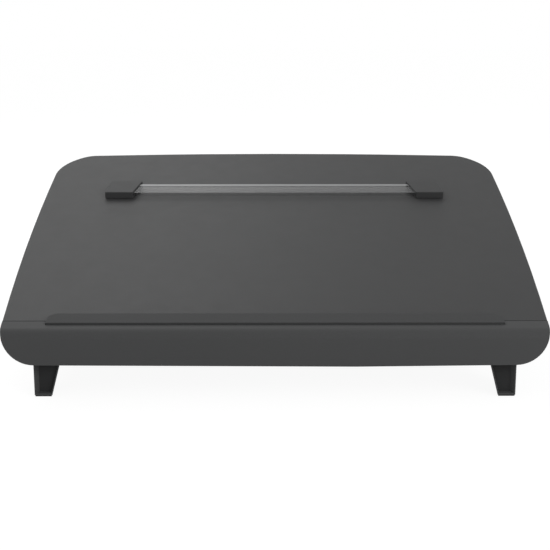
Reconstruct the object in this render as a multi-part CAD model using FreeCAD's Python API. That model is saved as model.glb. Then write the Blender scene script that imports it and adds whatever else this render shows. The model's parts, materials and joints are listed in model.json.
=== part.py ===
import FreeCAD, Part
import math
import os

# A desk slope for documents, on two side frames, whose front edge is the front of a drawer.
# Millimetres and degrees. +Z is up, -Y is the front, and +X is to the right seen from the front.
# The origin is on the desk, in the middle of the space that the closed holder covers.
# "Slope" places are given as across (X), up the slope from the seam, and off the board's top.

Vector = FreeCAD.Vector

# Board: a moulded sheet with a skirt round its edge and ribs under it
SLOPE = 15.0
SEAM_HEIGHT = 60.25
BOARD_LENGTH = 347.6
BOARD_WIDTH = 443.1
FRONT_NARROWING = 4.5
REAR_NARROWING = 1.4
BOARD_WAIST = 190.6
BACK_BOW = 5.3
REAR_FLANK_R = 56.0
REAR_FLANK_TURN = 62.0
REAR_CORNER_R = 24.0
BOARD_SKIN = 2.8
SKIRT_DEPTH = 9.0
SKIRT_WALL = 2.6
FRONT_LIP_DEPTH = 5.4
FRONT_LIP_MARGIN = 1.0
EDGE_BEVEL = 0.8
RIB_WALL = 1.6
RIB_DEPTH = 4.4
CROSS_RIB_PITCH = 62.0

# Drawer front: the board's skin carried on over a bend and down to a pull edge
FRONT_REACH = 17.2
FRONT_BOTTOM = 27.0
FRONT_BOTTOM_BOW = 1.8
FRONT_TAPER = 10.0
FRONT_BEND_R = 9.0
FRONT_CORNER_R = 25.5
FRONT_WALL = 2.6
FRONT_SKIRT = 6.5
FRONT_BOSS_LENGTH = 5.0
FRONT_BOSS_SPACING = 88.0
FRONT_BOSS_COUNT = 4
SEAM_GAP = 0.6

# Document ledge: a strip clipped over the board's front edge
LEDGE_MARGIN = 35.4
LEDGE_OVERHANG = 5.8
LEDGE_SEAT = 6.6
LEDGE_FRONT_HEIGHT = 1.6
LEDGE_REAR_HEIGHT = 3.0
LEDGE_CORNER_R = 9.0
LEDGE_GAP = 0.5
HOOK_WIDTH = 12.0
HOOK_WALL = 1.6
HOOK_CATCH = 1.2
HOOK_PITCH = 80.0
HOOK_COUNT = 5

# Side frames: channel-section walls on two feet each
LEG_INSET = 29.5
LEG_WIDTH = 21.0
FOOT_WIDTH = 13.8
FOOT_LENGTH = 36.0
FOOT_FLOOR = 1.4
FOOT_PLAN_TAPER = 15.0
ARCH_DRAFT = 6.0
ARCH_R = 10.0
LEG_SETBACK = 8.0
REAR_LEG_SETBACK = 27.6
FRAME_WEB = 2.4
FRAME_WALL = 2.2
FRAME_RIB_HEIGHT = 8.0
FRAME_REAR_R = 8.0
RECESS_DEPTH = 3.2
RECESS_RIM = 0.9
RECESS_DRAFT = 2.6
RECESS_RISE = 0.6

# Foot pads, glued under the feet
PAD_HEIGHT = 1.2
PAD_MARGIN = 0.4

# Space round every piece that is slipped into another
FIT_GAP = 0.15

# Bosses that carry the screws
BOSS_R = 3.5
BOARD_BOSS_COUNT = 4
BOARD_BOSS_FRONT_MARGIN = 40.0
BOARD_BOSS_REAR_MARGIN = 24.0

# Drawer tray and its runners
TRAY_DEPTH = 207.0
TRAY_LIFT = 1.4
TRAY_HEADROOM = 8.5
TRAY_WALL = 2.0
TRAY_CORNER_R = 6.0
TRAY_FLOOR_BEVEL = 1.6
TRAY_TRAVEL = 140.0
PEN_BAY_DEPTH = 58.0
PARTITION_HEIGHT = 16.0
PARTITION_WALL = 1.6
FLANGE_DROP = 6.5
FLANGE_WALL = 2.5
FLANGE_REACH = 8.5
FLANGE_START = 12.0
LUG_LENGTH = 4.0
LUG_WIDTH = 3.0
LUG_HEIGHT = 2.8
RUNNER_GAP = 0.4
RUNNER_SIDE_GAP = 1.0
RUNNER_LIP = 3.0
RUNNER_BACK = 3.5
RUNNER_OVERLAP = 4.5
RUNNER_SETBACK = 9.0
RUNNER_END_GAP = 1.0
RUNNER_BOSS_COUNT = 3
RUNNER_BOSS_MARGIN = 14.0
STOP_GAP = 0.3

# Loose divider in the tray
DIVIDER_WALL = 1.8
DIVIDER_HEIGHT = 15.0
DIVIDER_OFFSET = 40.0
GUIDE_RAIL_LENGTH = 5.0
GUIDE_RAIL_WALL = 1.5

# Cross braces between the side frames, and the bumpers that the tray closes on
BRACE_WALL = 2.0
BRACE_DEPTH = 10.4
BRACE_RIB_COUNT = 5
STOP_BRACE_HEIGHT = 24.0
STOP_BRACE_LIFT = 1.4
REAR_BRACE_HEIGHT = 26.0
REAR_BRACE_GAP = 5.0
REAR_BRACE_SETBACK = 14.0
BUMPER_R = 4.0
BUMPER_HEIGHT = 2.5
BUMPER_COUNT = 2
BUMPER_SPACING = 220.0

# Line guide: a clear bar held in two end clips, kept down by magnets
GUIDE_FROM_BACK = 85.9
CLIP_INSET = 58.4
CLIP_DEPTH = 27.4
CLIP_HEIGHT = 6.6
CLIP_FRONT_WIDTH = 26.7
CLIP_REAR_WIDTH = 30.7
CLIP_LEAN = 3.4
CLIP_WALL = 1.6
CLIP_ROOF = 1.4
CLIP_CORNER_R = 1.0
CLIP_OUTER_CORNER_R = 3.0
CLIP_BEVEL = 0.5
CLIP_RIM_GAP = 0.5
BAR_DEPTH = 21.0
BAR_WALL = 3.7
BAR_LIFT = 1.5
BAR_GRIP = 10.0
BAR_EDGE = 0.4
BAR_BEAD = 4.4
BAR_GROOVE_WIDTH = 0.8
BAR_GROOVE_DEPTH = 0.9
MAGNET_R = 4.0
MAGNET_HEIGHT = 3.0
MAGNET_COUNT = 2
GLIDE_GAP = 0.2
GLIDE_SUNK = 0.4
GLIDE_MARGIN = 3.0

# Steel strips under the board's skin, which the magnets hold on to
STRIP_WIDTH = 30.0
STRIP_WALL = 0.8
STRIP_MARGIN = 14.0

# Tools that cut run this far past the faces that they open
PAST = 1.0

SLOPE_COS = math.cos(math.radians(SLOPE))
SLOPE_SIN = math.sin(math.radians(SLOPE))
SLOPE_TAN = math.tan(math.radians(SLOPE))
PLAN_TAN = math.tan(math.radians(FOOT_PLAN_TAPER))
FRONT_TAN = math.tan(math.radians(FRONT_TAPER))

BACK_REACH = BOARD_LENGTH * SLOPE_COS + SKIRT_DEPTH * SLOPE_SIN
SEAM_Y = (FRONT_REACH - BACK_REACH) / 2
FACE_Y = SEAM_Y - FRONT_REACH
SEAM_HALF = BOARD_WIDTH / 2 - FRONT_NARROWING
LEDGE_LENGTH = 2 * (SEAM_HALF - LEDGE_MARGIN)
LEG_OUTER = BOARD_WIDTH / 2 - LEG_INSET
LEG_INNER = LEG_OUTER - LEG_WIDTH
FOOT_INNER = LEG_OUTER - FOOT_WIDTH
ARCH_HEIGHT = FRONT_BOTTOM
FRAME_FRONT = FACE_Y + LEG_SETBACK
FRAME_REAR = SEAM_Y + BACK_REACH - REAR_LEG_SETBACK
WEB_FACE = LEG_OUTER - FRAME_WEB
TRAY_FRONT = FACE_Y + FRONT_WALL + FRONT_BOSS_LENGTH
TRAY_REAR = TRAY_FRONT + TRAY_DEPTH
TRAY_BOTTOM = FRONT_BOTTOM + TRAY_LIFT
TRAY_TOP = SEAM_HEIGHT - TRAY_HEADROOM
FLANGE_EDGE = LEG_INNER - RUNNER_BACK - RUNNER_SIDE_GAP
TRAY_WIDTH = 2 * (FLANGE_EDGE - FLANGE_REACH)
FLANGE_BOTTOM = TRAY_TOP - FLANGE_DROP
STOP_BRACE_FRONT = TRAY_REAR + STOP_GAP + BUMPER_HEIGHT
STOP_BRACE_BOTTOM = TRAY_BOTTOM + STOP_BRACE_LIFT
REAR_BRACE_FRONT = FRAME_REAR - REAR_BRACE_SETBACK - BRACE_DEPTH
REAR_BRACE_RISE = (REAR_BRACE_FRONT - SEAM_Y) * SLOPE_TAN
REAR_BRACE_TOP = SEAM_HEIGHT + REAR_BRACE_RISE - SKIRT_DEPTH / SLOPE_COS - REAR_BRACE_GAP
REAR_BRACE_BOTTOM = REAR_BRACE_TOP - REAR_BRACE_HEIGHT
TRAY_MIDDLE = (TRAY_BOTTOM + TRAY_TOP) / 2
FLANGE_REAR = TRAY_REAR - TRAY_CORNER_R / 2
FLANGE_MIDDLE = FLANGE_BOTTOM + FLANGE_WALL / 2
RUNNER_FRONT = FRAME_FRONT + RUNNER_SETBACK
RUNNER_REAR = STOP_BRACE_FRONT - RUNNER_END_GAP
GROOVE_BOTTOM = FLANGE_BOTTOM - RUNNER_GAP
GROOVE_TOP = FLANGE_BOTTOM + FLANGE_WALL + RUNNER_GAP
LEDGE_FRONT = -LEDGE_OVERHANG
CLIP_FRONT = BOARD_LENGTH - GUIDE_FROM_BACK - CLIP_DEPTH
CLIP_FRONT_OUTER = BOARD_WIDTH / 2 - CLIP_INSET
CLIP_FRONT_INNER = CLIP_FRONT_OUTER - CLIP_FRONT_WIDTH
CLIP_REAR_OUTER = CLIP_FRONT_OUTER - CLIP_LEAN
CLIP_REAR_INNER = CLIP_REAR_OUTER - CLIP_REAR_WIDTH
STRIP_MIDDLE = (CLIP_FRONT_OUTER + CLIP_REAR_INNER) / 2
BAR_FRONT = CLIP_FRONT + CLIP_WALL


# ---- helpers -------------------------------------------------------------------------------

def block(x_span, y_span, z_span):
    """Box between a low and a high place along each axis."""
    low = Vector(min(x_span), min(y_span), min(z_span))
    high = Vector(max(x_span), max(y_span), max(z_span))
    size = high.sub(low)
    return Part.makeBox(size.x, size.y, size.z, low)


def rounded_outline(corners, radii):
    """Closed wire through the corners, each one rounded by its own radius."""
    count = len(corners)
    arcs = []
    starts = []
    ends = []
    for index in range(count):
        here = corners[index]
        back = corners[index - 1].sub(here).normalize()
        ahead = corners[(index + 1) % count].sub(here).normalize()
        half_angle = back.getAngle(ahead) / 2
        reach = radii[index] / math.tan(half_angle)
        start = here + back * reach
        end = here + ahead * reach
        middle = here + (back + ahead).normalize() * (radii[index] / math.sin(half_angle) - radii[index])
        arcs.append(Part.Arc(start, middle, end).toShape() if radii[index] > 0 else None)
        starts.append(start)
        ends.append(end)
    edges = []
    for index in range(count):
        if arcs[index] is not None:
            edges.append(arcs[index])
        edges.append(Part.makeLine(ends[index], starts[(index + 1) % count]))
    return Part.Wire(edges)


def prism(corners, radii, run):
    """Solid from a rounded outline, drawn out along run."""
    return Part.Face(rounded_outline(corners, radii)).extrude(run)


def polygon(corners):
    """Closed wire with sharp corners."""
    return Part.makePolygon(corners + [corners[0]])


def joined(shapes):
    """One solid from shapes that share some of their space."""
    whole = shapes[0].fuse(shapes[1:])
    return whole.removeSplitter()


def mirrored(shape):
    """The same piece on the other side of the holder."""
    return shape.mirror(Vector(0, 0, 0), Vector(1, 0, 0))


def on_slope(shape):
    """Carry a shape from slope places to the part's frame."""
    turned = shape.copy()
    turned.rotate(Vector(0, 0, 0), Vector(1, 0, 0), SLOPE)
    turned.translate(Vector(0, SEAM_Y, SEAM_HEIGHT))
    return turned


def slope_height(y, off):
    """Height above the desk, at a place along Y, of the plane that lies off the board's top."""
    return SEAM_HEIGHT + (y - SEAM_Y) * SLOPE_TAN + off / SLOPE_COS


def spread(count, pitch):
    """Places of evenly spaced copies, centred on zero."""
    return [(index - (count - 1) / 2) * pitch for index in range(count)]


def evenly(first, last, count):
    """Places of evenly spaced copies from the first to the last."""
    return [first + index * (last - first) / (count - 1) for index in range(count)]


def upright_edges(shape):
    """Straight edges that run along Z."""
    upright = []
    for edge in shape.Edges:
        space = edge.BoundBox
        if isinstance(edge.Curve, Part.Line) and space.ZLength > space.XLength + space.YLength:
            upright.append(edge)
    return upright


# ---- board and what is fixed to it ---------------------------------------------------------

def flank_places(side, corner, radius, level):
    """Start, middle and end of the slack curve with which a side turns in towards the back edge."""
    turn = math.radians(REAR_FLANK_TURN)
    start = corner - radius * math.sin(turn)
    places = []
    for angle in (0, turn / 2, turn):
        across = side - radius * (1 - math.cos(angle))
        places.append(Vector(across, start + radius * math.sin(angle), level))
    return places


def board_slab(inset, bottom, top):
    """The board's outline, drawn in by inset, as a slab between two slope levels."""
    front = SEAM_HALF - inset
    waist = BOARD_WIDTH / 2 - inset
    corner = BOARD_LENGTH - BACK_BOW - inset
    flank_right = flank_places(waist - REAR_NARROWING, corner, REAR_FLANK_R - inset, bottom)
    flank_left = [Vector(-place.x, place.y, bottom) for place in flank_right]
    front_left = Vector(-front, inset, bottom)
    front_right = Vector(front, inset, bottom)
    edges = [
        Part.makeLine(front_left, front_right),
        Part.Arc(front_right, Vector(waist, BOARD_WAIST, bottom), flank_right[0]).toShape(),
        Part.Arc(*flank_right).toShape(),
        Part.Arc(flank_right[2], Vector(0, BOARD_LENGTH - inset, bottom), flank_left[2]).toShape(),
        Part.Arc(*reversed(flank_left)).toShape(),
        Part.Arc(flank_left[0], Vector(-waist, BOARD_WAIST, bottom), front_left).toShape(),
    ]
    slab = Part.Face(Part.Wire(edges)).extrude(Vector(0, 0, top - bottom))
    rear_edges = [edge for edge in upright_edges(slab) if edge.CenterOfMass.y > corner - PAST]
    return slab.makeFillet(REAR_CORNER_R - inset, rear_edges)


def hook_places():
    return spread(HOOK_COUNT, HOOK_PITCH)


def board_boss_rows():
    """Where the side frames are screwed up into the board's bosses, along Y."""
    first = FRAME_FRONT + BOARD_BOSS_FRONT_MARGIN
    last = FRAME_REAR - BOARD_BOSS_REAR_MARGIN
    return evenly(first, last, BOARD_BOSS_COUNT)


def strip_span():
    """Slope places between which a steel strip lies."""
    return (STRIP_MARGIN, BOARD_LENGTH - BACK_BOW - SKIRT_WALL - STRIP_MARGIN)


def board_ribs():
    """Long ribs beside the steel strips, and cross ribs between the inner pair."""
    under = -BOARD_SKIN - RIB_DEPTH
    level = (under, -BOARD_SKIN + PAST)
    inner = STRIP_MIDDLE - STRIP_WIDTH / 2 - FIT_GAP
    outer = STRIP_MIDDLE + STRIP_WIDTH / 2 + FIT_GAP
    ribs = []
    for side in (-1, 1):
        for edge in (inner - RIB_WALL, outer):
            ribs.append(block((side * edge, side * (edge + RIB_WALL)), strip_span(), level))
    row = CROSS_RIB_PITCH
    while row < strip_span()[1]:
        ribs.append(block((-inner + RIB_WALL / 2, inner - RIB_WALL / 2), (row, row + RIB_WALL), level))
        row += CROSS_RIB_PITCH
    return ribs


def board():
    shell = board_slab(0, -SKIRT_DEPTH, 0)
    upper_edges = [edge for edge in shell.Edges if edge.BoundBox.ZMin > -SKIRT_DEPTH / 2]
    top_edges = [edge for edge in upper_edges if edge.CenterOfMass.y > PAST]
    shell = shell.makeChamfer(EDGE_BEVEL, top_edges)
    shell = shell.cut(board_slab(SKIRT_WALL, -SKIRT_DEPTH - PAST, -BOARD_SKIN))
    mouth = LEG_OUTER + FRONT_LIP_MARGIN
    shell = shell.cut(block((-mouth, mouth), (-PAST, SKIRT_WALL + PAST),
                            (-SKIRT_DEPTH - PAST, -FRONT_LIP_DEPTH)))
    bosses = []
    flange_middle = (LEG_INNER + WEB_FACE) / 2
    for across in (-flange_middle, flange_middle):
        for y in board_boss_rows():
            foot = Vector(across, (y - SEAM_Y) / SLOPE_COS, -SKIRT_DEPTH)
            bosses.append(Part.makeCylinder(BOSS_R, SKIRT_DEPTH - BOARD_SKIN + PAST, foot))
    shell = joined([shell] + board_ribs() + bosses)
    slots = [ledge_hook_stem(across, FIT_GAP) for across in hook_places()]
    return on_slope(shell.cut(slots))


def ledge_hook_stem(across, gap):
    """Stem of a hook, which passes down through the board, or the slot for it."""
    half = HOOK_WIDTH / 2 + gap
    middle = SKIRT_WALL + HOOK_CATCH + HOOK_WALL
    return block((across - half, across + half), (middle - HOOK_WALL / 2 - gap, middle + HOOK_WALL / 2 + gap),
                 (-BOARD_SKIN - FIT_GAP, FIT_GAP))


def ledge_hook(across):
    """Hook that catches under the board's skin."""
    half = HOOK_WIDTH / 2
    middle = SKIRT_WALL + HOOK_CATCH + HOOK_WALL
    low = -BOARD_SKIN - FIT_GAP - HOOK_CATCH
    corners = [
        Vector(across - half, middle - HOOK_WALL / 2, -BOARD_SKIN - FIT_GAP),
        Vector(across - half, middle + HOOK_WALL / 2 + HOOK_CATCH, -BOARD_SKIN - FIT_GAP),
        Vector(across - half, middle + HOOK_WALL / 2, low),
        Vector(across - half, middle - HOOK_WALL / 2, low),
    ]
    catch = Part.Face(polygon(corners)).extrude(Vector(HOOK_WIDTH, 0, 0))
    return [ledge_hook_stem(across, 0), catch]


def document_ledge():
    half = LEDGE_LENGTH / 2
    section = [
        Vector(-half, LEDGE_FRONT, -BOARD_SKIN),
        Vector(-half, LEDGE_FRONT, LEDGE_FRONT_HEIGHT),
        Vector(-half, LEDGE_SEAT, LEDGE_REAR_HEIGHT),
        Vector(-half, LEDGE_SEAT, 0),
        Vector(-half, 0, 0),
        Vector(-half, 0, -BOARD_SKIN),
    ]
    strip = Part.Face(polygon(section)).extrude(Vector(LEDGE_LENGTH, 0, 0))
    plan = [
        Vector(-half, LEDGE_FRONT, -SKIRT_DEPTH),
        Vector(half, LEDGE_FRONT, -SKIRT_DEPTH),
        Vector(half, LEDGE_SEAT, -SKIRT_DEPTH),
        Vector(-half, LEDGE_SEAT, -SKIRT_DEPTH),
    ]
    strip = strip.common(prism(plan, [0, 0, LEDGE_CORNER_R, LEDGE_CORNER_R], Vector(0, 0, 2 * SKIRT_DEPTH)))
    hooks = []
    for across in hook_places():
        hooks += ledge_hook(across)
    return on_slope(joined([strip] + hooks))


def steel_strip(side):
    """Strip glued under the board's skin, between two long ribs."""
    middle = side * STRIP_MIDDLE
    half = STRIP_WIDTH / 2
    return on_slope(block((middle - half, middle + half), strip_span(),
                          (-BOARD_SKIN - STRIP_WALL, -BOARD_SKIN)))


# ---- side frames and feet ------------------------------------------------------------------

def frame_profile():
    """Side view of a side frame: a wedge on two feet, with an arch between them."""
    top_front = slope_height(FRAME_FRONT, -SKIRT_DEPTH)
    top_rear = slope_height(FRAME_REAR, -SKIRT_DEPTH)
    corners = [
        Vector(0, FRAME_FRONT, PAD_HEIGHT),
        Vector(0, FRAME_FRONT, top_front),
        Vector(0, FRAME_REAR, top_rear),
        Vector(0, FRAME_REAR, PAD_HEIGHT),
        Vector(0, FRAME_REAR - FOOT_LENGTH, PAD_HEIGHT),
        Vector(0, FRAME_REAR - FOOT_LENGTH - ARCH_DRAFT, ARCH_HEIGHT),
        Vector(0, FRAME_FRONT + FOOT_LENGTH + ARCH_DRAFT, ARCH_HEIGHT),
        Vector(0, FRAME_FRONT + FOOT_LENGTH, PAD_HEIGHT),
    ]
    return Part.Face(rounded_outline(corners, [0, 0, FRAME_REAR_R, 0, 0, ARCH_R, ARCH_R, 0]))


def frame_slice(face, near, far):
    """Side view drawn out between two places across."""
    moved = face.copy()
    moved.translate(Vector(near, 0, 0))
    return moved.extrude(Vector(far - near, 0, 0))


def foot_inner(height, depth):
    """Inner edge of a foot at a height above the desk and a depth behind its face."""
    narrowing = (FOOT_INNER - LEG_INNER) * (1 - height / ARCH_HEIGHT)
    return LEG_INNER + narrowing + depth * PLAN_TAN


def foot_taper(face_y, inward):
    """What is cut off a foot's inner side, so that it narrows downwards and behind its face."""
    start = face_y - inward * PAST
    run = FOOT_LENGTH + ARCH_DRAFT + 2 * PAST
    shape = polygon([
        Vector(LEG_INNER - run, start, -PAST),
        Vector(LEG_INNER - run, start, ARCH_HEIGHT),
        Vector(foot_inner(ARCH_HEIGHT, -PAST), start, ARCH_HEIGHT),
        Vector(foot_inner(-PAST, -PAST), start, -PAST),
    ])
    return Part.Face(shape).extrude(Vector(run * PLAN_TAN, inward * run, 0))


def leg_recess(face_y, inward):
    """Open recess in the face of a leg, with drafted walls outside and below."""
    start = face_y - inward * PAST
    end = face_y + inward * RECESS_DEPTH
    run = RECESS_DEPTH + PAST
    top = slope_height(face_y, -SKIRT_DEPTH) - FRAME_WALL - RECESS_DEPTH * SLOPE_TAN
    inner_top = foot_inner(ARCH_HEIGHT, -PAST) + RECESS_RIM
    shape = polygon([
        Vector(foot_inner(0, -PAST) + RECESS_RIM, start, 0),
        Vector(LEG_OUTER, start, 0),
        Vector(LEG_OUTER, start, top),
        Vector(inner_top, start, top),
        Vector(inner_top, start, ARCH_HEIGHT),
    ])
    within = Part.Face(shape).extrude(Vector(run * PLAN_TAN, inward * run, 0))
    outer = LEG_OUTER - RECESS_RIM
    outer_wall = polygon([
        Vector(LEG_INNER, start, 0),
        Vector(outer + PAST * RECESS_DRAFT / RECESS_DEPTH, start, 0),
        Vector(outer - RECESS_DRAFT, end, 0),
        Vector(LEG_INNER, end, 0),
    ])
    beside = Part.Face(outer_wall).extrude(Vector(0, 0, top))
    bottom = PAD_HEIGHT + FOOT_FLOOR
    bottom_wall = polygon([
        Vector(LEG_INNER, start, top),
        Vector(LEG_INNER, start, bottom - PAST * RECESS_RISE / RECESS_DEPTH),
        Vector(LEG_INNER, end, bottom + RECESS_RISE),
        Vector(LEG_INNER, end, top),
    ])
    above = Part.Face(bottom_wall).extrude(Vector(LEG_WIDTH, 0, 0))
    return within.common(beside).common(above)


def frame_boss_places():
    """Y and Z of the bosses that the runner and the two braces are screwed to."""
    rows = evenly(RUNNER_FRONT + RUNNER_BOSS_MARGIN, RUNNER_REAR - RUNNER_BOSS_MARGIN, RUNNER_BOSS_COUNT)
    places = [(y, FLANGE_MIDDLE) for y in rows]
    places.append((STOP_BRACE_FRONT + BRACE_DEPTH / 2, STOP_BRACE_BOTTOM + STOP_BRACE_HEIGHT / 2))
    places.append((REAR_BRACE_FRONT + BRACE_DEPTH / 2, REAR_BRACE_BOTTOM + REAR_BRACE_HEIGHT / 2))
    return places


def frame_ends():
    """Face and inward direction of the front and the rear foot."""
    return ((FRAME_FRONT, 1), (FRAME_REAR, -1))


def right_side_frame():
    profile = frame_profile()
    body = frame_slice(profile, LEG_INNER, LEG_OUTER)
    pocket = frame_slice(profile.makeOffset2D(-FRAME_WALL), LEG_INNER - PAST, WEB_FACE)
    end_wall = RECESS_DEPTH + FRAME_WALL
    pocket = pocket.common(block((0, LEG_OUTER), (FRAME_FRONT + end_wall, FRAME_REAR - end_wall),
                                 (0, SEAM_HEIGHT + BOARD_LENGTH)))
    ribs = []
    rib_side = (WEB_FACE - FRAME_RIB_HEIGHT, WEB_FACE + PAST)
    rows = board_boss_rows()
    for near, far in zip(rows, rows[1:]):
        y = (near + far) / 2
        ribs.append(body.common(block(rib_side, (y, y + RIB_WALL), (0, SEAM_HEIGHT + BOARD_LENGTH))))
    bosses = []
    for y, z in frame_boss_places():
        end = Vector(LEG_INNER, y, z)
        bosses.append(Part.makeCylinder(BOSS_R, WEB_FACE - LEG_INNER + PAST, end, Vector(1, 0, 0)))
    body = joined([body.cut(pocket)] + ribs + bosses)
    for face_y, inward in frame_ends():
        body = body.cut(foot_taper(face_y, inward)).cut(leg_recess(face_y, inward))
    return body


def foot_pad(face_y, inward):
    """Pad a little smaller all round than the foot that it is glued under."""
    outer = LEG_OUTER - PAD_MARGIN
    corners = []
    for depth in (PAD_MARGIN, FOOT_LENGTH - PAD_MARGIN):
        y = face_y + inward * depth
        corners.append([Vector(foot_inner(PAD_HEIGHT, depth) + PAD_MARGIN, y, 0), Vector(outer, y, 0)])
    plan = polygon([corners[0][0], corners[0][1], corners[1][1], corners[1][0]])
    return Part.Face(plan).extrude(Vector(0, 0, PAD_HEIGHT))


# ---- cross braces --------------------------------------------------------------------------

def brace(front, bottom, height):
    """Channel between the side frames, with its open side to the back."""
    body = block((-LEG_INNER, LEG_INNER), (front, front + BRACE_DEPTH), (bottom, bottom + height))
    hollow = block((-LEG_INNER + BRACE_WALL, LEG_INNER - BRACE_WALL),
                   (front + BRACE_WALL, front + BRACE_DEPTH + PAST),
                   (bottom + BRACE_WALL, bottom + height - BRACE_WALL))
    ribs = []
    for x in spread(BRACE_RIB_COUNT, 2 * LEG_INNER / (BRACE_RIB_COUNT + 1)):
        ribs.append(block((x - RIB_WALL / 2, x + RIB_WALL / 2), (front, front + BRACE_DEPTH),
                          (bottom, bottom + height)))
    return joined([body.cut(hollow)] + ribs)


def drawer_bumpers():
    """Rubber buttons on the front brace, just behind the closed tray."""
    bumpers = []
    for x in spread(BUMPER_COUNT, BUMPER_SPACING):
        seat = Vector(x, STOP_BRACE_FRONT, STOP_BRACE_BOTTOM + STOP_BRACE_HEIGHT / 2)
        bumpers.append(Part.makeCylinder(BUMPER_R, BUMPER_HEIGHT, seat, Vector(0, -1, 0)))
    return Part.Compound(bumpers)


# ---- runners -------------------------------------------------------------------------------

def right_runner():
    """C-section rail that holds the tray's flange, slotted above for the flange's stop lug."""
    inner = FLANGE_EDGE - RUNNER_OVERLAP
    floor = FLANGE_EDGE + RUNNER_SIDE_GAP
    section = [
        Vector(LEG_INNER, RUNNER_FRONT, GROOVE_BOTTOM - RUNNER_LIP),
        Vector(LEG_INNER, RUNNER_FRONT, GROOVE_TOP + RUNNER_LIP),
        Vector(inner, RUNNER_FRONT, GROOVE_TOP + RUNNER_LIP),
        Vector(inner, RUNNER_FRONT, GROOVE_TOP),
        Vector(floor, RUNNER_FRONT, GROOVE_TOP),
        Vector(floor, RUNNER_FRONT, GROOVE_BOTTOM),
        Vector(inner, RUNNER_FRONT, GROOVE_BOTTOM),
        Vector(inner, RUNNER_FRONT, GROOVE_BOTTOM - RUNNER_LIP),
    ]
    rail = Part.Face(polygon(section)).extrude(Vector(0, RUNNER_REAR - RUNNER_FRONT, 0))
    slot_front = FLANGE_REAR - LUG_LENGTH - TRAY_TRAVEL - STOP_GAP
    slot = block((FLANGE_EDGE - LUG_WIDTH - RUNNER_GAP, FLANGE_EDGE + RUNNER_GAP),
                 (slot_front, RUNNER_REAR + PAST), (GROOVE_TOP - PAST, GROOVE_TOP + RUNNER_LIP + PAST))
    return rail.cut(slot)


# ---- drawer --------------------------------------------------------------------------------

def behind_front(depth):
    """All space at least this far behind the drawer front's bent face."""
    half = BOARD_WIDTH / 2
    corner_height = slope_height(FACE_Y + depth, -depth)
    far = SEAM_Y + 2 * FRONT_REACH
    corners = [
        Vector(-half, FACE_Y + depth, -PAST),
        Vector(-half, FACE_Y + depth, corner_height),
        Vector(-half, far, slope_height(far, -depth)),
        Vector(-half, far, -PAST),
    ]
    return prism(corners, [0, FRONT_BEND_R - depth, 0, 0], Vector(2 * half, 0, 0))


def front_view(inset):
    """The drawer front seen from the front: a bowed pull edge between two large corners."""
    half = SEAM_HALF - inset
    ahead = FACE_Y - PAST
    low = FRONT_BOTTOM + inset
    ends = low + FRONT_BOTTOM_BOW
    low_half = half - (SEAM_HEIGHT - ends) * FRONT_TAN
    top_half = half + FRONT_REACH * FRONT_TAN
    low_left = Vector(-low_half, ahead, ends)
    low_right = Vector(low_half, ahead, ends)
    top_right = Vector(top_half, ahead, SEAM_HEIGHT + FRONT_REACH)
    top_left = Vector(-top_half, ahead, SEAM_HEIGHT + FRONT_REACH)
    edges = [
        Part.Arc(low_left, Vector(0, ahead, low), low_right).toShape(),
        Part.makeLine(low_right, top_right),
        Part.makeLine(top_right, top_left),
        Part.makeLine(top_left, low_left),
    ]
    solid = Part.Face(Part.Wire(edges)).extrude(Vector(0, 3 * FRONT_REACH, 0))
    runs = [edge for edge in solid.Edges if edge.BoundBox.YLength > FRONT_REACH]
    corners = [edge for edge in runs if edge.CenterOfMass.z < SEAM_HEIGHT]
    return solid.makeFillet(FRONT_CORNER_R - inset, corners)


def drawer_front():
    shell = behind_front(0).common(front_view(0)).cut(behind_front(FRONT_SKIRT))
    shell = shell.cut(behind_front(FRONT_WALL).common(front_view(FRONT_WALL)))
    half = BOARD_WIDTH / 2
    past_seam = block((-half, half), (-SEAM_GAP, 3 * FRONT_REACH), (-2 * FRONT_REACH, FRONT_REACH))
    notch = LEDGE_LENGTH / 2 + LEDGE_GAP
    for_ledge = block((-notch, notch), (LEDGE_FRONT - LEDGE_GAP, 0), (-2 * FRONT_REACH, FRONT_REACH))
    shell = shell.cut([on_slope(past_seam), on_slope(for_ledge)])
    bosses = []
    for x in spread(FRONT_BOSS_COUNT, FRONT_BOSS_SPACING):
        end = Vector(x, TRAY_FRONT, TRAY_MIDDLE)
        length = FRONT_BOSS_LENGTH + FRONT_WALL / 2
        bosses.append(Part.makeCylinder(BOSS_R, length, end, Vector(0, -1, 0)))
        rib = block((x - RIB_WALL / 2, x + RIB_WALL / 2), (FACE_Y, FACE_Y + FRONT_SKIRT),
                    (FRONT_BOTTOM + FRONT_BOTTOM_BOW, SEAM_HEIGHT))
        bosses.append(rib.common(behind_front(FRONT_WALL / 2)).cut(behind_front(FRONT_SKIRT)))
    return joined([shell] + bosses)


def tray_shell(inset, bottom, top, corner_r):
    """Block of the tray's plan, drawn in by inset."""
    half = TRAY_WIDTH / 2 - inset
    corners = [
        Vector(-half, TRAY_FRONT + inset, bottom),
        Vector(half, TRAY_FRONT + inset, bottom),
        Vector(half, TRAY_REAR - inset, bottom),
        Vector(-half, TRAY_REAR - inset, bottom),
    ]
    return prism(corners, [corner_r] * 4, Vector(0, 0, top - bottom))


def divider_span():
    """Y places between which the loose divider stands."""
    behind_partition = TRAY_FRONT + TRAY_WALL + PEN_BAY_DEPTH + PARTITION_WALL
    return (behind_partition + FIT_GAP, TRAY_REAR - TRAY_WALL - FIT_GAP)


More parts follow.
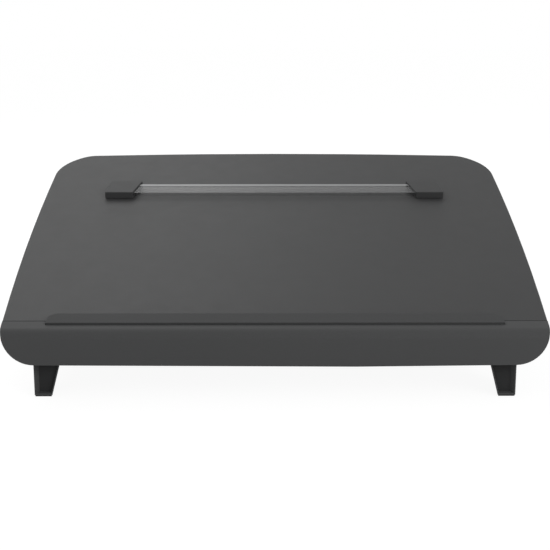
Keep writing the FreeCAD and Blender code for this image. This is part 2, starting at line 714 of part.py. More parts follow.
def divider_rails():
    """Pairs of short upright rails that hold the divider's ends."""
    floor = TRAY_BOTTOM + TRAY_WALL
    near = DIVIDER_WALL / 2 + FIT_GAP
    front, rear = divider_span()
    rails = []
    for side in (-1, 1):
        across = (DIVIDER_OFFSET + side * near, DIVIDER_OFFSET + side * (near + GUIDE_RAIL_WALL))
        rails.append(block(across, (front - FIT_GAP - PARTITION_WALL / 2, front + GUIDE_RAIL_LENGTH),
                           (floor - TRAY_WALL / 2, floor + DIVIDER_HEIGHT)))
        rails.append(block(across, (rear - GUIDE_RAIL_LENGTH, rear + FIT_GAP + TRAY_WALL / 2),
                           (floor - TRAY_WALL / 2, floor + DIVIDER_HEIGHT)))
    return rails


def drawer_tray():
    outer = tray_shell(0, TRAY_BOTTOM, TRAY_TOP, TRAY_CORNER_R)
    inner = tray_shell(TRAY_WALL, TRAY_BOTTOM + TRAY_WALL, TRAY_TOP + PAST, TRAY_CORNER_R - TRAY_WALL)
    rim = [edge for edge in inner.Edges if edge.BoundBox.ZMax < TRAY_MIDDLE]
    shell = outer.cut(inner.makeChamfer(TRAY_FLOOR_BEVEL, rim))
    half = TRAY_WIDTH / 2
    bay_back = TRAY_FRONT + TRAY_WALL + PEN_BAY_DEPTH
    floor = TRAY_BOTTOM + TRAY_WALL / 2
    parts = [shell]
    parts.append(block((-half + TRAY_WALL / 2, half - TRAY_WALL / 2), (bay_back, bay_back + PARTITION_WALL),
                       (floor, TRAY_BOTTOM + TRAY_WALL + PARTITION_HEIGHT)))
    parts += divider_rails()
    flange_top = FLANGE_BOTTOM + FLANGE_WALL
    for side in (-1, 1):
        parts.append(block((side * (half - TRAY_WALL / 2), side * FLANGE_EDGE),
                           (TRAY_FRONT + FLANGE_START, FLANGE_REAR), (FLANGE_BOTTOM, flange_top)))
        parts.append(block((side * (FLANGE_EDGE - LUG_WIDTH), side * FLANGE_EDGE),
                           (FLANGE_REAR - LUG_LENGTH, FLANGE_REAR), (FLANGE_BOTTOM, flange_top + LUG_HEIGHT)))
    return joined(parts)


def tray_divider():
    """Loose plate that parts the rear of the tray in two, with rounded top corners."""
    front, rear = divider_span()
    left = DIVIDER_OFFSET - DIVIDER_WALL / 2
    floor = TRAY_BOTTOM + TRAY_WALL
    corners = [
        Vector(left, front, floor),
        Vector(left, rear, floor),
        Vector(left, rear, floor + DIVIDER_HEIGHT),
        Vector(left, front, floor + DIVIDER_HEIGHT),
    ]
    radii = [TRAY_FLOOR_BEVEL, TRAY_FLOOR_BEVEL + TRAY_WALL, TRAY_WALL, TRAY_WALL]
    return prism(corners, radii, Vector(DIVIDER_WALL, 0, 0))


# ---- line guide ----------------------------------------------------------------------------

def clip_plan(inset, level):
    """Plan of the right clip, drawn in by inset. Its sides lean in towards the top of the slope."""
    front = CLIP_FRONT + inset
    rear = CLIP_FRONT + CLIP_DEPTH - inset
    return [
        Vector(CLIP_FRONT_INNER + inset, front, level),
        Vector(CLIP_FRONT_OUTER - inset, front, level),
        Vector(CLIP_REAR_OUTER - inset, rear, level),
        Vector(CLIP_REAR_INNER + inset, rear, level),
    ]


def clip_core(inset, bottom, top):
    """Sharp-cornered block that fits inside a clip, between two slope levels."""
    return Part.Face(polygon(clip_plan(inset, bottom))).extrude(Vector(0, 0, top - bottom))


def bar_end():
    """Place across where the bar ends inside a clip."""
    return CLIP_FRONT_INNER + BAR_GRIP


def bar_block(gap):
    """The bar's own space, or with a gap the pocket for it."""
    half = bar_end() + gap
    return block((-half, half), (BAR_FRONT - gap, BAR_FRONT + BAR_DEPTH + gap),
                 (BAR_LIFT - gap, BAR_LIFT + BAR_WALL + gap))


def magnet_places():
    """Two places in the right clip, outside the bar's end."""
    across = (bar_end() + CLIP_REAR_OUTER - CLIP_WALL) / 2
    middle = CLIP_FRONT + CLIP_DEPTH / 2
    steps = spread(MAGNET_COUNT, MAGNET_R * 2 + CLIP_WALL)
    return [Vector(across, middle + step, BAR_LIFT) for step in steps]


def right_guide_clip():
    """Cover of a clip, open below, with a mouth for the bar."""
    radii = [CLIP_CORNER_R, CLIP_CORNER_R, CLIP_OUTER_CORNER_R, CLIP_CORNER_R]
    cover = prism(clip_plan(0, CLIP_RIM_GAP), radii, Vector(0, 0, CLIP_HEIGHT - CLIP_RIM_GAP))
    crown = [edge for edge in cover.Edges if edge.BoundBox.ZMin > CLIP_HEIGHT - CLIP_BEVEL]
    cover = cover.makeChamfer(CLIP_BEVEL, crown)
    hollow = clip_core(CLIP_WALL, CLIP_RIM_GAP - PAST, CLIP_HEIGHT - CLIP_ROOF)
    return on_slope(cover.cut(hollow).cut(bar_block(FIT_GAP)))


def right_clip_base():
    """Plate that closes a clip from below, with a shallow seat for the glide pad."""
    plate = clip_core(CLIP_WALL + FIT_GAP, CLIP_RIM_GAP, BAR_LIFT)
    seat = clip_core(GLIDE_MARGIN - FIT_GAP, CLIP_RIM_GAP - PAST, CLIP_RIM_GAP + GLIDE_SUNK)
    return on_slope(plate.cut(seat))


def right_glide_pad():
    return on_slope(clip_core(GLIDE_MARGIN, GLIDE_GAP, CLIP_RIM_GAP + GLIDE_SUNK))


def guide_magnets():
    discs = [on_slope(Part.makeCylinder(MAGNET_R, MAGNET_HEIGHT, place)) for place in magnet_places()]
    return Part.Compound(discs + [mirrored(disc) for disc in discs])


def guide_bar():
    """Clear bar with a bead along its rear edge, parted from the rest by a groove."""
    bar = bar_block(0)
    long_edges = [edge for edge in bar.Edges if edge.Length > BAR_DEPTH * 2]
    bar = bar.makeChamfer(BAR_EDGE, long_edges)
    bead = BAR_FRONT + BAR_DEPTH - BAR_BEAD
    top = BAR_LIFT + BAR_WALL
    groove = block((-bar_end() - PAST, bar_end() + PAST), (bead - BAR_GROOVE_WIDTH, bead),
                   (top - BAR_GROOVE_DEPTH, top + PAST))
    return on_slope(bar.cut(groove))


# ---- all pieces ----------------------------------------------------------------------------

def pieces():
    """Every node's name and shape."""
    frame = right_side_frame()
    runner = right_runner()
    front_pad = foot_pad(*frame_ends()[0])
    rear_pad = foot_pad(*frame_ends()[1])
    clip = right_guide_clip()
    base = right_clip_base()
    pad = right_glide_pad()
    return {
        "board": board(),
        "document_ledge": document_ledge(),
        "left_steel_strip": steel_strip(-1),
        "right_steel_strip": steel_strip(1),
        "left_side_frame": mirrored(frame),
        "right_side_frame": frame,
        "left_front_pad": mirrored(front_pad),
        "right_front_pad": front_pad,
        "left_rear_pad": mirrored(rear_pad),
        "right_rear_pad": rear_pad,
        "stop_brace": brace(STOP_BRACE_FRONT, STOP_BRACE_BOTTOM, STOP_BRACE_HEIGHT),
        "rear_brace": brace(REAR_BRACE_FRONT, REAR_BRACE_BOTTOM, REAR_BRACE_HEIGHT),
        "drawer_bumpers": drawer_bumpers(),
        "left_runner": mirrored(runner),
        "right_runner": runner,
        "drawer_front": drawer_front(),
        "drawer_tray": drawer_tray(),
        "tray_divider": tray_divider(),
        "guide_bar": guide_bar(),
        "left_guide_clip": mirrored(clip),
        "right_guide_clip": clip,
        "left_clip_base": mirrored(base),
        "right_clip_base": base,
        "left_glide_pad": mirrored(pad),
        "right_glide_pad": pad,
        "guide_magnets": guide_magnets(),
    }


os.makedirs("parts", exist_ok=True)
for name, shape in pieces().items():
    shape.exportStep("parts/" + name + ".step")
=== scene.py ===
import json
import math

import bmesh
import bpy
from mathutils import Matrix, Vector


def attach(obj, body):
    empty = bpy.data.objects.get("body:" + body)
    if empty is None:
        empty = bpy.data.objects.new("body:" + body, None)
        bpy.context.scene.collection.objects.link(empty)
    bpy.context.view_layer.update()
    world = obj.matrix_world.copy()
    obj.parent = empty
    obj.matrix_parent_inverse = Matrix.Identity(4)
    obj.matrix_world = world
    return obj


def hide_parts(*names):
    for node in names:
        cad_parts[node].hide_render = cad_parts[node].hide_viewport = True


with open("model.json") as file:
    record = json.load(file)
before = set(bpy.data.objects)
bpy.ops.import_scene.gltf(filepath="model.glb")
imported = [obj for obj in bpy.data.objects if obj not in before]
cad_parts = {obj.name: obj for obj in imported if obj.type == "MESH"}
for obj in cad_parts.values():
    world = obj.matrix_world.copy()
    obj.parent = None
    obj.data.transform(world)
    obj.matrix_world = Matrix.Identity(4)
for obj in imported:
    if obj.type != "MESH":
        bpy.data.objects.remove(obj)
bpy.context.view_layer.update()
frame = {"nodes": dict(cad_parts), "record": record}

# Looks of a sloped document holder with a drawer. Metres, in the model's own frame:
# +Z up, -Y the front, +X to the right. The holder stands on the floor at Z = 0.

MM = 0.001
SLOPE = math.radians(15.0)
SEAM = Vector((0.0, -160.443 * MM, 60.25 * MM))

# Places that the details, the finishes, and the painted shade and highlight keep to, as the model has them
SKIRT_DEPTH = 9.0 * MM
FRAME_WALL = 2.2 * MM
RECESS_FLOORS = (-166.443 * MM, 146.843 * MM)
BAR_TOP = 5.2 * MM
BAR_BEAD_FRONT = 252.5 * MM
BAR_MIDDLE = 244.0 * MM

# A face lies on a place within this margin, and faces one way by this much of its normal
PLACE_MARGIN = 0.05 * MM
FACING_SHARE = 0.9

# Camera, as the picture of the holder was taken
FRAME_PIXELS = 550
FOCAL_PIXELS = 1221.0
SENSOR_WIDTH = 36.0
CAMERA_PLACE = Vector((-0.00326, -1.0988, 0.3150))
CAMERA_PITCH = math.radians(13.05)
CAMERA_YAW = math.radians(0.194)

# Studio
WHITE = (1.0, 1.0, 1.0, 1.0)
FLOOR_SIZE = 12.0
FLOOR_BOUNCE = 0.80
FLOOR_SHADE = 0.16
FLOOR_GLOW = 0.93
WORLD_LIGHT = 0.42
TARGET = Vector((0.0, 0.0, 0.08))
KEY_PLACE = Vector((-0.49, 0.76, 1.16))
KEY_SIZE = (1.1, 0.6)
KEY_LEVEL = 0.34
FILL_PLACE = Vector((1.10, -1.20, 0.80))
FILL_SIZE = (1.0, 0.8)
FILL_LEVEL = 0.24


# ---- camera, floor and light ---------------------------------------------------------------

def make_camera():
    data = bpy.data.cameras.new("camera")
    data.sensor_width = SENSOR_WIDTH
    data.lens = FOCAL_PIXELS / FRAME_PIXELS * SENSOR_WIDTH
    camera = bpy.data.objects.new("camera", data)
    camera.location = CAMERA_PLACE
    camera.rotation_euler = (math.pi / 2 - CAMERA_PITCH, 0.0, -CAMERA_YAW)
    bpy.context.scene.collection.objects.link(camera)
    bpy.context.scene.camera = camera


def soft_box(name, place, size, level):
    """Area lamp aimed at the holder. A white card there, square to it, would render at level."""
    data = bpy.data.lights.new(name, "AREA")
    data.shape = "RECTANGLE"
    data.size, data.size_y = size
    reach = (place - TARGET).length
    data.energy = level * (math.pi * reach) ** 2
    lamp = bpy.data.objects.new(name, data)
    lamp.location = place
    lamp.rotation_euler = (TARGET - place).to_track_quat("-Z", "Y").to_euler()
    lamp.visible_camera = False
    bpy.context.scene.collection.objects.link(lamp)


class Nodes:
    """A short way to build a material's or the world's nodes."""

    def __init__(self, owner):
        owner.use_nodes = True
        self.tree = owner.node_tree
        self.tree.nodes.clear()

    def add(self, kind, inputs=None, **settings):
        node = self.tree.nodes.new(kind)
        for key, value in settings.items():
            setattr(node, key, value)
        for key, value in (inputs or {}).items():
            if isinstance(value, bpy.types.NodeSocket):
                self.tree.links.new(value, node.inputs[key])
            else:
                node.inputs[key].default_value = value
        return node

    def math(self, operation, first, second, clamp=False):
        node = self.add("ShaderNodeMath", {0: first, 1: second}, operation=operation, use_clamp=clamp)
        return node.outputs[0]

    def fit(self, value, span, low, high):
        """A value carried from its own span over to low and high."""
        node = self.add("ShaderNodeMapRange", {"Value": value, "From Min": span[0], "From Max": span[1],
                                               "To Min": low, "To Max": high})
        return node.outputs["Result"]

    def drift(self, noise, mean, give):
        """A value that drifts with the noise to either side of its mean."""
        return self.fit(noise, NOISE_SPAN, mean - give, mean + give)

    def blend(self, factor, first, second):
        """Colours mixed by factor. The mix node has them at inputs 6 and 7 and at output 2."""
        node = self.add("ShaderNodeMix", {0: factor, 6: first, 7: second}, data_type="RGBA")
        return node.outputs[2]

    def mottled(self, noise, dark, pale):
        """A colour that goes with the noise from dark to pale."""
        return self.blend(self.fit(noise, NOISE_SPAN, 0.0, 1.0), dark, pale)

    def noise(self, place, scale, **settings):
        node = self.add("ShaderNodeTexNoise", {"Vector": place, "Scale": scale, **settings})
        return node.outputs[0]

    def own_place(self):
        return self.add("ShaderNodeTexCoord").outputs["Object"]

    def stretched(self, place, scale):
        return self.add("ShaderNodeMapping", {"Vector": place, "Scale": scale}).outputs[0]

    def bump(self, height, distance, strength):
        node = self.add("ShaderNodeBump", {"Height": height, "Distance": distance, "Strength": strength})
        return node.outputs[0]

    def show(self, shader, output="ShaderNodeOutputMaterial"):
        self.add(output, {"Surface": shader.outputs[0]})

    def either(self, factor, first, second):
        """The first shader where factor is 0, the second where it is 1."""
        return self.add("ShaderNodeMixShader", {0: factor, 1: first.outputs[0], 2: second.outputs[0]})

    def diffuse(self, share):
        return self.add("ShaderNodeBsdfDiffuse", {"Color": (share, share, share, 1.0)})

    def seen_directly(self):
        """1 for rays that show the background: from the camera, in gloss and through glass."""
        path = self.add("ShaderNodeLightPath")
        seen = self.math("MAXIMUM", path.outputs["Is Camera Ray"], path.outputs["Is Glossy Ray"])
        return self.math("MAXIMUM", seen, path.outputs["Is Transmission Ray"])


def make_world():
    """Even light from all round, and plain white where the background itself is seen."""
    world = bpy.data.worlds.new("studio")
    bpy.context.scene.world = world
    nodes = Nodes(world)
    light = nodes.add("ShaderNodeBackground", {"Color": WHITE, "Strength": WORLD_LIGHT})
    shown = nodes.add("ShaderNodeBackground", {"Color": WHITE, "Strength": 1.0})
    nodes.show(nodes.either(nodes.seen_directly(), light, shown), "ShaderNodeOutputWorld")


def make_floor():
    """Pale floor that shows white and keeps a light shadow of the holder. From below it is clear."""
    half = FLOOR_SIZE / 2
    mesh = bpy.data.meshes.new("floor")
    corners = [(-half, -half, 0), (half, -half, 0), (half, half, 0), (-half, half, 0)]
    mesh.from_pydata(corners, [], [(0, 1, 2, 3)])
    floor = bpy.data.objects.new("floor", mesh)
    bpy.context.scene.collection.objects.link(floor)
    material = bpy.data.materials.new("pale_floor")
    nodes = Nodes(material)
    glow = nodes.add("ShaderNodeEmission", {"Color": WHITE, "Strength": FLOOR_GLOW})
    shade = nodes.diffuse(FLOOR_SHADE)
    shown = nodes.add("ShaderNodeAddShader", {0: shade.outputs[0], 1: glow.outputs[0]})
    above = nodes.either(nodes.seen_directly(), nodes.diffuse(FLOOR_BOUNCE), shown)
    below = nodes.add("ShaderNodeBsdfTransparent")
    underside = nodes.add("ShaderNodeNewGeometry").outputs["Backfacing"]
    nodes.show(nodes.either(underside, above, below))
    mesh.materials.append(material)


make_camera()
make_world()
make_floor()
soft_box("key", KEY_PLACE, KEY_SIZE, KEY_LEVEL)
soft_box("fill", FILL_PLACE, FILL_SIZE, FILL_LEVEL)
bpy.context.scene.view_settings.view_transform = "Standard"


# ---- materials -----------------------------------------------------------------------------

# Noise keeps mostly to this span, which the finishes carry over to their own values
NOISE_SPAN = (0.3, 0.7)

# Moulded plastic. Scales are in waves to the metre, and drifts are to either side of the mean.
PLASTIC_WARMTH = -0.012
CLOUD_SCALE = 11.0
HANDLING_SCALE = 70.0
TONE_DRIFT = 0.02
ROUGHNESS_DRIFT = 0.02
GRAIN_ROUGHNESS = 0.03
GRAIN_STRENGTH = 0.6
SPECK_SPAN = (0.35, 0.65)
SPECK_SHARE = 0.35
PALE_TONE = 1.35

# Wear shows where a softened normal turns away from the sharp one, by the cosine between them
WEAR_RADIUS = 0.6 * MM
WEAR_SAMPLES = 6
WEAR_COSINES = (0.995, 0.86)
WEAR_PATCHES = (0.42, 0.62)
WEAR_SHARES = (0.15, 0.75)
WEAR_POLISH = 0.12

# Acrylic, with its rubbing marks drawn out across the holder
RUBBED_SCALE = (30.0, 900.0, 900.0)
RUBBED_SPAN = (0.35, 0.75)
ACRYLIC_DRIFT = 0.03
ACRYLIC_ROUGHNESS = (0.30, 0.42)
ACRYLIC_COAT_ROUGHNESS = 0.35
ACRYLIC_IOR = 1.49
ACRYLIC_WARMTH = -0.008

# Metal
STREAK_TONES = (0.85, 1.1)
STREAK_ROUGHNESS = 0.06
STREAK_HEIGHT = 0.00002
STREAK_STRENGTH = 0.5
STAIN_SCALE = 120.0
STAIN_SPAN = (0.4, 0.7)
STAIN_ROUGHNESS = 0.08
METAL_WARMTH = 0.01

# Felt
FIBRE_SCALE = 2600.0
FIBRE_TWIST = 1.5
FIBRE_TONES = (0.018, 0.05)
FIBRE_ROUGHNESS = (0.85, 0.98)
FIBRE_HEIGHT = 0.0002
FIBRE_STRENGTH = 0.8
FIBRE_SHEEN = 0.3


def grey(level, warmth=0.0):
    return (level * (1 + warmth), level, level * (1 - warmth), 1.0)


def grey_pair(level, give, warmth):
    """Two greys, a share darker and a share paler than level."""
    return grey(level * (1 - give), warmth), grey(level * (1 + give), warmth)


def moulded(name, tone, roughness, grain=0.00003, grain_scale=1700.0, specular=0.22):
    """Textured moulded plastic: spark-eroded grain, slow changes of tone, and edges rubbed paler."""
    material = bpy.data.materials.new(name)
    nodes = Nodes(material)
    place = nodes.own_place()
    fine = nodes.noise(place, grain_scale, Detail=3.0, Roughness=0.6)
    cloudy = nodes.noise(place, CLOUD_SCALE, Detail=4.0, Roughness=0.55)
    handled = nodes.noise(place, HANDLING_SCALE, Detail=5.0, Roughness=0.65)
    soft = nodes.add("ShaderNodeBevel", {"Radius": WEAR_RADIUS}, samples=WEAR_SAMPLES).outputs[0]
    sharp = nodes.add("ShaderNodeNewGeometry").outputs["Normal"]
    alike = nodes.add("ShaderNodeVectorMath", {0: soft, 1: sharp}, operation="DOT_PRODUCT")
    edge = nodes.fit(alike.outputs["Value"], WEAR_COSINES, 0.0, 1.0)
    worn = nodes.math("MULTIPLY", edge, nodes.fit(handled, WEAR_PATCHES, *WEAR_SHARES), clamp=True)
    pale = grey(tone * PALE_TONE, PLASTIC_WARMTH)
    base = nodes.mottled(cloudy, *grey_pair(tone, TONE_DRIFT, PLASTIC_WARMTH))
    speck = nodes.blend(nodes.fit(fine, SPECK_SPAN, 0.0, SPECK_SHARE), base, pale)
    colour = nodes.blend(worn, speck, pale)
    rough = nodes.math("ADD", nodes.drift(handled, roughness, ROUGHNESS_DRIFT),
                       nodes.drift(fine, 0.0, GRAIN_ROUGHNESS))
    rough = nodes.math("SUBTRACT", rough, nodes.math("MULTIPLY", worn, WEAR_POLISH), clamp=True)
    nodes.show(nodes.add("ShaderNodeBsdfPrincipled", {
        "Base Color": colour, "Roughness": rough, "Specular IOR Level": specular,
        "Normal": nodes.bump(fine, grain, GRAIN_STRENGTH)}))
    return material


def acrylic(name, tone, cover, sheen):
    """Thin acrylic, from clear to satin by its cover, with fine rubbing marks along its length."""
    material = bpy.data.materials.new(name)
    nodes = Nodes(material)
    rubbed = nodes.noise(nodes.stretched(nodes.own_place(), RUBBED_SCALE), 1.0, Detail=3.0)
    tint = nodes.mottled(rubbed, *grey_pair(tone, ACRYLIC_DRIFT, ACRYLIC_WARMTH))
    nodes.show(nodes.add("ShaderNodeBsdfPrincipled", {
        "Base Color": tint, "Roughness": nodes.fit(rubbed, RUBBED_SPAN, *ACRYLIC_ROUGHNESS),
        "IOR": ACRYLIC_IOR, "Alpha": cover, "Coat Weight": sheen,
        "Coat Roughness": ACRYLIC_COAT_ROUGHNESS, "Coat IOR": ACRYLIC_IOR}))
    return material


def metal(name, tone, roughness, streak):
    """Rolled or plated metal: marks drawn out where streak is lowest, and a dulled, uneven gloss."""
    material = bpy.data.materials.new(name)
    nodes = Nodes(material)
    place = nodes.own_place()
    lines = nodes.noise(nodes.stretched(place, streak), 1.0, Detail=4.0)
    stain = nodes.noise(place, STAIN_SCALE, Detail=4.0)
    dark, pale = [grey(tone * share, METAL_WARMTH) for share in STREAK_TONES]
    rough = nodes.math("ADD", nodes.drift(lines, roughness, STREAK_ROUGHNESS),
                       nodes.fit(stain, STAIN_SPAN, 0.0, STAIN_ROUGHNESS), clamp=True)
    nodes.show(nodes.add("ShaderNodeBsdfPrincipled", {
        "Base Color": nodes.mottled(lines, dark, pale), "Roughness": rough, "Metallic": 1.0,
        "Normal": nodes.bump(lines, STREAK_HEIGHT, STREAK_STRENGTH)}))
    return material


def felt(name):
    """Short felt: matted fibres with a faint sheen."""
    material = bpy.data.materials.new(name)
    nodes = Nodes(material)
    fibres = nodes.noise(nodes.own_place(), FIBRE_SCALE, Detail=6.0, Distortion=FIBRE_TWIST)
    dark, pale = [grey(tone) for tone in FIBRE_TONES]
    nodes.show(nodes.add("ShaderNodeBsdfPrincipled", {
        "Base Color": nodes.mottled(fibres, dark, pale),
        "Roughness": nodes.fit(fibres, NOISE_SPAN, *FIBRE_ROUGHNESS), "Sheen Weight": FIBRE_SHEEN,
        "Normal": nodes.bump(fibres, FIBRE_HEIGHT, FIBRE_STRENGTH)}))
    return material


PLASTICS = {
    "board_plastic": {"tone": 0.057, "roughness": 0.52, "specular": 0.12},
    "front_plastic": {"tone": 0.083, "roughness": 0.62, "specular": 0.10},
    "ledge_plastic": {"tone": 0.083, "roughness": 0.50, "specular": 0.025},
    "frame_plastic": {"tone": 0.082, "roughness": 0.48, "grain_scale": 1300.0, "specular": 0.08},
    # Darker copy of the frame plastic: painted shade on the floors of the leg recesses
    "recess_shade_plastic": {"tone": 0.039, "roughness": 0.60, "grain_scale": 900.0, "specular": 0.06},
    "runner_plastic": {"tone": 0.030, "roughness": 0.34, "grain": 0.00001, "specular": 0.4},
    "tray_plastic": {"tone": 0.040, "roughness": 0.55, "grain_scale": 1200.0},
    "clip_plastic": {"tone": 0.066, "roughness": 0.52, "specular": 0.07},
    "pad_rubber": {"tone": 0.045, "roughness": 0.72, "grain": 0.00006, "grain_scale": 900.0, "specular": 0.2},
}
ACRYLICS = {
    "clear_acrylic": {"tone": 0.15, "cover": 0.04, "sheen": 0.0},
    # Dark veil on the guide bar's front face: painted shade for the dark line along its front edge
    "front_shade_acrylic": {"tone": 0.02, "cover": 0.16, "sheen": 0.0},
    "satin_acrylic": {"tone": 0.46, "cover": 0.22, "sheen": 0.25},
    # Paler than the satin top: a painted highlight along the guide bar's rear bead
    "bead_highlight_acrylic": {"tone": 0.75, "cover": 0.36, "sheen": 0.3},
}
METALS = {
    "steel": {"tone": 0.55, "roughness": 0.32, "streak": (900.0, 20.0, 900.0)},
    "magnet_plating": {"tone": 0.72, "roughness": 0.16, "streak": (200.0, 200.0, 200.0)},
}
MATERIALS = {"glide_felt": felt("felt")}
for make, values in ((moulded, PLASTICS), (acrylic, ACRYLICS), (metal, METALS)):
    for name, settings in values.items():
        MATERIALS[name] = make(name, **settings)

# Pieces whose plastic is moulded with a finish of its own
OWN_FINISH = {"drawer_front": "front_plastic"}


# ---- places --------------------------------------------------------------------------------

def levelled(direction):
    """A direction, turned so that the slope lies level."""
    return Matrix.Rotation(-SLOPE, 3, "X") @ direction


def slope_place(place):
    """The same place across, up the slope from the seam, and off the board's top."""
    return levelled(place - SEAM)


def from_slope(across, along, off):
    """The place in the frame, from its place across, up the slope and off the board's top."""
    return SEAM + Matrix.Rotation(SLOPE, 3, "X") @ Vector((across, along, off))


# Floors of the leg recesses, which get painted shade
def in_leg_recess(centre, normal):
    on_floor = any(abs(centre.y - floor) < PLACE_MARGIN for floor in RECESS_FLOORS)
    return abs(normal.y) > FACING_SHARE and on_floor


# Front face of the guide bar, which gets painted shade
def on_bar_front(centre, normal):
    return levelled(normal).y < -FACING_SHARE and slope_place(centre).y < BAR_MIDDLE


def on_bar_top(centre, normal):
    return slope_place(centre).z > BAR_TOP - PLACE_MARGIN and slope_place(centre).y < BAR_BEAD_FRONT


# Top of the guide bar's rear bead, which gets a painted highlight
def on_bar_bead(centre, normal):
    return slope_place(centre).z > BAR_TOP - PLACE_MARGIN and slope_place(centre).y > BAR_BEAD_FRONT


# Faces of a piece that get a material of their own: painted shade on the leg recess floors and on the guide
# bar's front, a painted highlight on its bead, and its satin top
FACE_FINISH = {
    "left_side_frame": [(in_leg_recess, "recess_shade_plastic")],
    "right_side_frame": [(in_leg_recess, "recess_shade_plastic")],
    "guide_bar": [(on_bar_front, "front_shade_acrylic"), (on_bar_top, "satin_acrylic"),
                  (on_bar_bead, "bead_highlight_acrylic")],
}


# ---- pieces --------------------------------------------------------------------------------

WELD_DISTANCE = 0.002 * MM
FLAT_ANGLE = math.radians(0.6)
ROUNDED_ANGLE = math.radians(28)
ROUNDING_SEGMENTS = 2


def body_of(node):
    for body, members in frame["record"]["behaviour"]["bodies"].items():
        if node in members:
            return body


def slot_of(node):
    for part in frame["record"]["subparts"]:
        if part["node"] == node:
            return part["material_slot"]


def refined(node, width):
    """The node's form with its moulded edges rounded and its faces shaded smooth."""
    mesh = frame["nodes"][node].data.copy()
    mesh.name = node + "_finished"
    work = bmesh.new()
    work.from_mesh(mesh)
    bmesh.ops.remove_doubles(work, verts=work.verts, dist=WELD_DISTANCE)
    bmesh.ops.dissolve_limit(work, angle_limit=FLAT_ANGLE, verts=work.verts, edges=work.edges)
    bmesh.ops.recalc_face_normals(work, faces=work.faces)
    finishes = FACE_FINISH.get(node, [])
    for face in work.faces:
        face.smooth = True
        face.material_index = 0
        for index, (chosen, _) in enumerate(finishes):
            if chosen(face.calc_center_median(), face.normal):
                face.material_index = index + 1
    mesh.materials.clear()
    mesh.materials.append(MATERIALS[OWN_FINISH.get(node, slot_of(node))])
    for _, finish in finishes:
        mesh.materials.append(MATERIALS[finish])
    work.to_mesh(mesh)
    work.free()
    piece = bpy.data.objects.new(node + "_finished", mesh)
    bpy.context.scene.collection.objects.link(piece)
    rounding = piece.modifiers.new("rounding", "BEVEL")
    rounding.width = width
    rounding.segments = ROUNDING_SEGMENTS
    rounding.limit_method = "ANGLE"
    rounding.angle_limit = ROUNDED_ANGLE
    rounding.use_clamp_overlap = True
    rounding.miter_outer = "MITER_ARC"
    weighted = piece.modifiers.new("shading", "WEIGHTED_NORMAL")
    weighted.keep_sharp = False
    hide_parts(node)
    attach(piece, body_of(node))


EDGE_ROUNDING = {
    "board": 0.15 * MM,
    "document_ledge": 0.25 * MM,
    "drawer_front": 0.15 * MM,
    "left_side_frame": 0.35 * MM,
    "right_side_frame": 0.35 * MM,
    "stop_brace": 0.3 * MM,
    "rear_brace": 0.3 * MM,
    "left_runner": 0.25 * MM,
    "right_runner": 0.25 * MM,
    "drawer_tray": 0.3 * MM,
    "tray_divider": 0.3 * MM,
    "guide_bar": 0.12 * MM,
    "left_guide_clip": 0.25 * MM,
    "right_guide_clip": 0.25 * MM,
    "left_clip_base": 0.15 * MM,
    "right_clip_base": 0.15 * MM,
    "left_glide_pad": 0.15 * MM,
    "right_glide_pad": 0.15 * MM,
    "left_front_pad": 0.3 * MM,
    "right_front_pad": 0.3 * MM,
    "left_rear_pad": 0.3 * MM,
    "right_rear_pad": 0.3 * MM,
    "left_steel_strip": 0.15 * MM,
    "right_steel_strip": 0.15 * MM,
    "drawer_bumpers": 0.5 * MM,
    "guide_magnets": 0.3 * MM,
}
for node, width in EDGE_ROUNDING.items():
    refined(node, width)


# ---- screws --------------------------------------------------------------------------------

# A head's outline as shares of its radius and height. Faces within the crown's share stay flat.
HEAD_RINGS = ((1.0, 0.0), (1.0, 0.45), (0.93, 0.72), (0.78, 0.90), (0.62, 1.0))
HEAD_SIDES = 24
CROWN_SHARE = 0.6

# The cross as shares of the head's radius, its narrower floor, and the floor's share of the height
CROSS_REACH = 0.52
CROSS_HALF_WIDTH = 0.11
CROSS_ARM = ((CROSS_REACH, -CROSS_HALF_WIDTH), (CROSS_REACH, CROSS_HALF_WIDTH),
             (CROSS_HALF_WIDTH, CROSS_HALF_WIDTH))
CROSS_TAPER = 0.8
CROSS_FLOOR = 0.25

# Where the screws stand. Rows and pairs without a unit are in millimetres.
SCREW_RADIUS = 2.7 * MM
SCREW_HEIGHT = 1.7 * MM
SIDES = (("left", -1), ("right", 1))
BOARD_SCREW_X = 180.35 * MM
BOARD_SCREW_ROWS = (-129.643, -44.414, 40.814, 126.043)
BRACE_SCREW_X = 169.05 * MM
BRACE_SCREWS = {"stop_brace": (44.957, 41.8), "rear_brace": (130.843, 109.589)}
TRAY_SCREW_ROW = (-132.0, -44.0, 44.0, 132.0)
TRAY_SCREW_PLACE = (-168.043 * MM, 40.075 * MM)


def head_rings(work):
    rings = []
    for share, rise in HEAD_RINGS:
        ring = []
        for step in range(HEAD_SIDES):
            turn = 2 * math.pi * step / HEAD_SIDES
            reach = SCREW_RADIUS * share
            ring.append(work.verts.new((reach * math.cos(turn), reach * math.sin(turn), SCREW_HEIGHT * rise)))
        rings.append(ring)
    return rings


def cross_corners():
    corners = []
    for quarter in range(4):
        turn = Matrix.Rotation(quarter * math.pi / 2, 3, "Z")
        for out, across in CROSS_ARM:
            corners.append(turn @ Vector((out * SCREW_RADIUS, across * SCREW_RADIUS, SCREW_HEIGHT)))
    return corners


def bridge(work, lower, upper):
    for step in range(len(lower)):
        ahead = (step + 1) % len(lower)
        work.faces.new((lower[step], lower[ahead], upper[ahead], upper[step]))


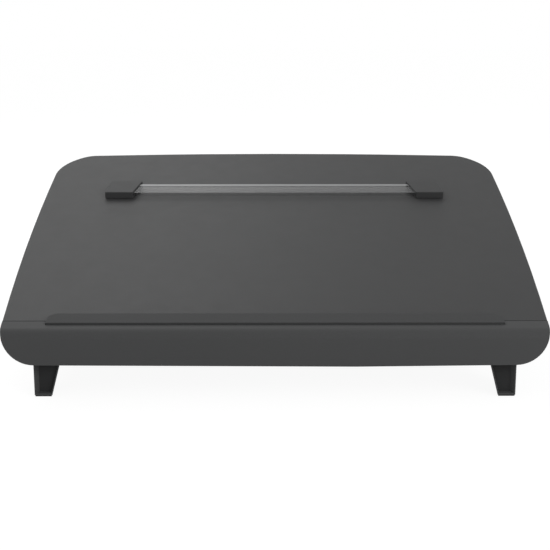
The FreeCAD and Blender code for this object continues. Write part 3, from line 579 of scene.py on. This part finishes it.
def screw_head(name, node, place, facing):
    """Pan head with a cross recess, standing on the piece that it holds."""
    work = bmesh.new()
    rings = head_rings(work)
    for lower, upper in zip(rings, rings[1:]):
        bridge(work, lower, upper)
    work.faces.new(list(reversed(rings[0])))
    cross = cross_corners()
    rim = [work.verts.new(corner) for corner in cross]
    deep = [work.verts.new((corner.x * CROSS_TAPER, corner.y * CROSS_TAPER, SCREW_HEIGHT * CROSS_FLOOR))
            for corner in cross]
    crown = rings[-1]
    edges = [work.edges.get((crown[step], crown[(step + 1) % HEAD_SIDES])) for step in range(HEAD_SIDES)]
    edges += [work.edges.new((rim[step], rim[(step + 1) % len(rim)])) for step in range(len(rim))]
    bmesh.ops.triangle_fill(work, use_beauty=True, edges=edges)
    bridge(work, rim, deep)
    work.faces.new(deep)
    bmesh.ops.recalc_face_normals(work, faces=work.faces)
    for face in work.faces:
        reach = face.calc_center_median().xy.length
        face.smooth = len(face.verts) == 4 and reach > CROWN_SHARE * SCREW_RADIUS
    mesh = bpy.data.meshes.new(name)
    work.to_mesh(mesh)
    work.free()
    mesh.materials.append(MATERIALS["steel"])
    head = bpy.data.objects.new(name, mesh)
    head.matrix_world = Matrix.Translation(place) @ facing.to_track_quat("Z", "Y").to_matrix().to_4x4()
    bpy.context.scene.collection.objects.link(head)
    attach(head, body_of(node))


down_from_board = from_slope(0, 0, -1) - SEAM
for side, sign in SIDES:
    for count, y in enumerate(BOARD_SCREW_ROWS):
        along = (y * MM - SEAM.y) / math.cos(SLOPE)
        place = from_slope(sign * BOARD_SCREW_X, along, -SKIRT_DEPTH - FRAME_WALL)
        screw_head("%s_board_screw_%d" % (side, count + 1), side + "_side_frame", place, down_from_board)
    for brace, (y, z) in BRACE_SCREWS.items():
        place = Vector((sign * BRACE_SCREW_X, y * MM, z * MM))
        screw_head("%s_%s_screw" % (side, brace), brace, place, Vector((-sign, 0, 0)))
for count, x in enumerate(TRAY_SCREW_ROW):
    place = Vector((x * MM, *TRAY_SCREW_PLACE))
    screw_head("tray_screw_%d" % (count + 1), "drawer_tray", place, Vector((0, 1, 0)))
